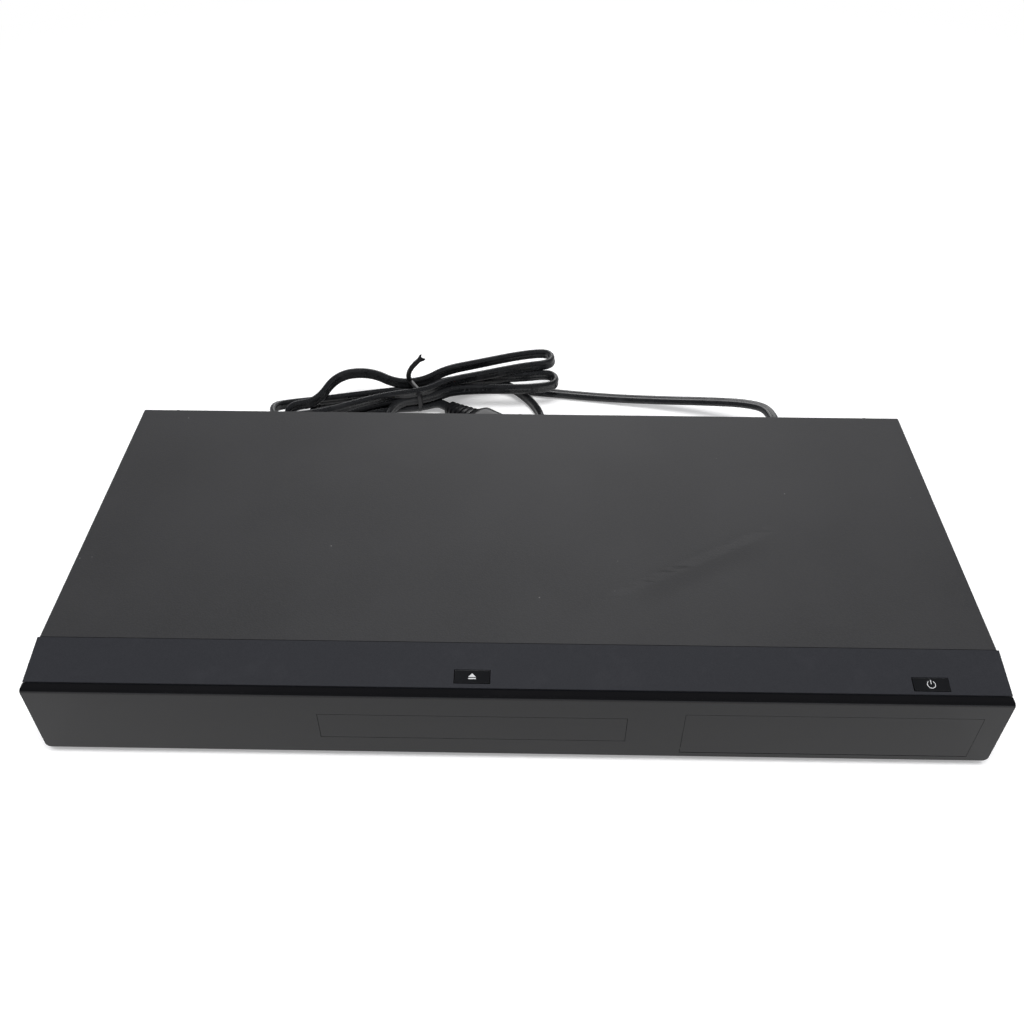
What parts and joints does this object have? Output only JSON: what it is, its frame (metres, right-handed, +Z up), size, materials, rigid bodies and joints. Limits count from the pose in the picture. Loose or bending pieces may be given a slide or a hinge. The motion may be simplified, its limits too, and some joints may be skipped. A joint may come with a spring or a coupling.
{
  "type": "blu-ray recorder",
  "caption": "Flat optical disc recorder with a sliding disc tray, a flip-down slot door, ledge buttons and a tied mains lead.",
  "frame": {"origin": "on the table under the middle of the box that the recorder fills without its lead", "axes": "+X to the recorder's right as seen from the front, -Y out of the front, +Z up"},
  "size_m": [0.431, 0.3066, 0.0493],
  "materials": {
    "top_cover": "fine-textured charcoal paint on steel sheet",
    "chassis_base": "bare zinc-coated steel sheet",
    "feet": "moulded black rubber feet",
    "rear_panel": "matt black paint on steel sheet",
    "screws": "black zinc-plated steel screws",
    "front_panel": "satin dark grey moulded plastic",
    "face_plate": "gloss black plate with a smoked layer",
    "door_pin": "ground steel wire",
    "slot_panel": "matt black moulded plastic",
    "button_boards": "green printed circuit board",
    "button_switches": "black tact switches",
    "sensor_board": "green circuit board with a dark remote sensor",
    "loader_frame": "black glass-filled moulded plastic",
    "clamp_bridge": "zinc-coated steel strip",
    "loading_motor": "small motor in a steel can",
    "loading_belt": "black rubber drive belt",
    "cartridge_bay": "black moulded plastic",
    "usb_socket": "plated steel shell with a plastic tongue",
    "card_reader": "black moulded plastic",
    "hard_drive": "cast aluminium case with a steel lid",
    "drive_bracket": "zinc-coated steel sheet",
    "main_board": "green printed circuit board",
    "power_board": "tan printed circuit board",
    "main_chip": "black moulded chip",
    "heat_sink": "extruded aluminium",
    "transformer": "ferrite core with a taped winding",
    "capacitors": "sleeved electrolytic capacitors",
    "tuner": "tin-plated can with threaded jacks",
    "av_jacks": "black moulded jack block",
    "hdmi_socket": "plated steel shell with a plastic tongue",
    "lan_socket": "plated steel shell",
    "ac_inlet": "black moulded inlet with plated contacts",
    "fan_frame": "black moulded plastic",
    "fan_rotor": "black moulded plastic",
    "inlet_plug": "black moulded vinyl",
    "mains_lead": "black flat vinyl lead",
    "lead_hank": "black flat vinyl lead",
    "mains_plug": "black moulded vinyl with nickel-plated blades",
    "twist_tie": "black plastic-coated wire",
    "disc_tray": "black moulded plastic",
    "tray_rack": "natural white acetal",
    "tray_bezel": "gloss black plastic",
    "slot_door": "gloss black plastic",
    "tray_button": "dark grey moulded plastic",
    "power_button": "dark grey moulded plastic",
    "drive_gear": "natural white acetal",
    "pulley_gear": "natural white acetal",
    "motor_pulley": "natural white acetal",
    "traverse_frame": "stamped steel with outserts",
    "guide_rods": "ground steel",
    "sled_motor": "small motor in a steel can",
    "spindle_motor": "flat spindle motor",
    "turntable": "black moulded plastic with a rubber ring",
    "disc_clamp": "moulded plastic puck",
    "pickup_sled": "die-cast carriage",
    "pickup_lens": "coated lens",
    "lead_screw": "rolled steel screw",
    "shutter_flap": "matt black plastic flap"
  },
  "bodies": {
    "casing": {"top_cover": "top_cover", "chassis_base": "chassis_base", "feet": "feet", "rear_panel": "rear_panel", "screws": "screws", "front_panel": "front_panel", "face_plate": "face_plate", "door_pin": "door_pin", "slot_panel": "slot_panel", "button_boards": "button_boards", "button_switches": "button_switches", "sensor_board": "sensor_board", "loader_frame": "loader_frame", "clamp_bridge": "clamp_bridge", "loading_motor": "loading_motor", "cartridge_bay": "cartridge_bay", "usb_socket": "usb_socket", "card_reader": "card_reader", "hard_drive": "hard_drive", "drive_bracket": "drive_bracket", "main_board": "main_board", "power_board": "power_board", "main_chip": "main_chip", "heat_sink": "heat_sink", "transformer": "transformer", "capacitors": "capacitors", "tuner": "tuner", "av_jacks": "av_jacks", "hdmi_socket": "hdmi_socket", "lan_socket": "lan_socket", "ac_inlet": "ac_inlet", "fan_frame": "fan_frame", "inlet_plug": "inlet_plug", "mains_lead": "mains_lead", "lead_hank": "lead_hank", "mains_plug": "mains_plug", "twist_tie": "twist_tie", "loading_belt": "loading_belt"},
    "tray": {"disc_tray": "disc_tray", "tray_rack": "tray_rack", "tray_bezel": "tray_bezel"},
    "slot_door": {"slot_door": "slot_door"},
    "tray_button": {"tray_button": "tray_button"},
    "power_button": {"power_button": "power_button"},
    "drive_gear": {"drive_gear": "drive_gear"},
    "pulley_gear": {"pulley_gear": "pulley_gear"},
    "motor_pulley": {"motor_pulley": "motor_pulley"},
    "traverse": {"traverse_frame": "traverse_frame", "guide_rods": "guide_rods", "sled_motor": "sled_motor", "spindle_motor": "spindle_motor"},
    "turntable": {"turntable": "turntable"},
    "disc_clamp": {"disc_clamp": "disc_clamp"},
    "pickup": {"pickup_sled": "pickup_sled", "pickup_lens": "pickup_lens"},
    "lead_screw": {"lead_screw": "lead_screw"},
    "shutter_flap": {"shutter_flap": "shutter_flap"},
    "fan_rotor": {"fan_rotor": "fan_rotor"}
  },
  "joints": [
    {"name": "tray_slide", "type": "slide", "parent": "casing", "child": "tray", "axis": [0, -1, 0], "range_m": [0, 0.136]},
    {"name": "drive_gear_spin", "type": "hinge", "parent": "casing", "child": "drive_gear", "pos_m": [-0.06465, -0.0819, 0.018], "axis": [0, 0, 1], "range_deg": [0, 976]},
    {"name": "pulley_gear_spin", "type": "hinge", "parent": "casing", "child": "pulley_gear", "pos_m": [-0.05145, -0.0819, 0.014], "axis": [0, 0, 1], "range_deg": [-1950.1, 0]},
    {"name": "motor_pulley_spin", "type": "hinge", "parent": "casing", "child": "motor_pulley", "pos_m": [-0.02365, -0.0819, 0.011], "axis": [0, 0, 1], "range_deg": [-5996, 0]},
    {"name": "slot_door_hinge", "type": "hinge", "parent": "casing", "child": "slot_door", "pos_m": [0.14, -0.1015, 0.009], "axis": [1, 0, 0], "range_deg": [0, 88]},
    {"name": "tray_button_press", "type": "slide", "parent": "casing", "child": "tray_button", "axis": [0, 0, -1], "range_m": [0, 0.0005], "stiffness_N_per_m": 800},
    {"name": "power_button_press", "type": "slide", "parent": "casing", "child": "power_button", "axis": [0, 0, -1], "range_m": [0, 0.0005], "stiffness_N_per_m": 800},
    {"name": "traverse_lift", "type": "hinge", "parent": "casing", "child": "traverse", "pos_m": [-0.019, 0.0455, 0.0169], "axis": [-1, 0, 0], "range_deg": [0, 2.6]},
    {"name": "turntable_spin", "type": "hinge", "parent": "traverse", "child": "turntable", "pos_m": [-0.019, -0.03486, 0.02296], "axis": [0, -0.0454, 0.999], "continuous": true},
    {"name": "disc_clamp_spin", "type": "hinge", "parent": "casing", "child": "disc_clamp", "pos_m": [-0.019, -0.0345, 0.031], "axis": [0, 0, 1], "continuous": true},
    {"name": "pickup_slide", "type": "slide", "parent": "traverse", "child": "pickup", "axis": [0, 0.999, 0.0454], "range_m": [0, 0.032]},
    {"name": "lead_screw_spin", "type": "hinge", "parent": "traverse", "child": "lead_screw", "pos_m": [0.019, -0.0194, 0.01325], "axis": [0, 0.999, 0.0454], "range_deg": [0, 3850]},
    {"name": "shutter_flap_hinge", "type": "hinge", "parent": "casing", "child": "shutter_flap", "pos_m": [0.133, -0.0873, 0.0268], "axis": [1, 0, 0], "range_deg": [0, 84], "stiffness_Nm_per_rad": 0.0006, "springref_deg": -17.19},
    {"name": "fan_spin", "type": "hinge", "parent": "casing", "child": "fan_rotor", "pos_m": [-0.15, 0.0869, 0.0253], "axis": [0, 1, 0], "continuous": true}
  ],
  "couplings": [
    {"joint": "drive_gear_spin", "follows": "tray_slide", "rad_per_m": 125},
    {"joint": "pulley_gear_spin", "follows": "tray_slide", "rad_per_m": -250},
    {"joint": "motor_pulley_spin", "follows": "tray_slide", "rad_per_m": -769.23},
    {"joint": "lead_screw_spin", "follows": "pickup_slide", "rad_per_m": 2094.4},
    {"joint": "disc_clamp_spin", "follows": "turntable_spin", "ratio": 1}
  ]
}
